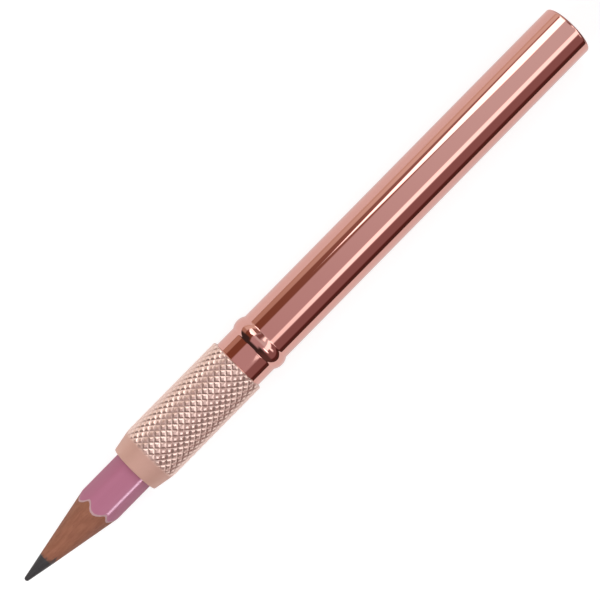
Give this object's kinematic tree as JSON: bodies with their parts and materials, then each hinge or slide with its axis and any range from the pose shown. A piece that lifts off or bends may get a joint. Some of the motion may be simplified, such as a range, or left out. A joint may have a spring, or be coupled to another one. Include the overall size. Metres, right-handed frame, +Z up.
{
  "type": "pencil extender",
  "caption": "Tubular pencil holder with a knurled screw clamp ring that closes a split collet on a sharpened hexagonal pencil, closed tail and rolled bead.",
  "frame": {"origin": "under the middle of the whole length, on the surface it lies on", "axes": "+X along the axis towards the closed tail, the pencil's point towards -X, +Z up"},
  "size_m": [0.1322, 0.011, 0.011],
  "materials": {
    "bright_rose_metal": "mirror polished, rose gold anodised",
    "satin_rose_metal": "satin, rose gold anodised, diamond knurled grip",
    "turned_brass": "as turned",
    "cedar": "freshly sharpened, bare",
    "graphite": "dull graphite sheen",
    "pink_lacquer": "gloss lacquer"
  },
  "bodies": {
    "barrel": {"barrel": "bright_rose_metal", "threaded_ferrule": "turned_brass"},
    "collet": {"collet": "turned_brass"},
    "ring": {"clamp_ring": "satin_rose_metal"},
    "pencil": {"upper_slat": "cedar", "lower_slat": "cedar", "pencil_lead": "graphite", "lacquer_coat": "pink_lacquer"}
  },
  "joints": [
    {"name": "collet_travel", "type": "slide", "parent": "barrel", "child": "collet", "axis": [-1, 0, 0], "range_m": [0, 0.00225]},
    {"name": "ring_turn", "type": "hinge", "parent": "collet", "child": "ring", "pos_m": [-0.02715, 0, 0.0055], "axis": [-1, 0, 0], "range_deg": [0, 1080]},
    {"name": "pencil_slide", "type": "slide", "parent": "collet", "child": "pencil", "axis": [-1, 0, 0], "range_m": [-0.0265, 0.052]}
  ],
  "couplings": [
    {"joint": "ring_turn", "follows": "collet_travel", "rad_per_m": 8377.6}
  ]
}
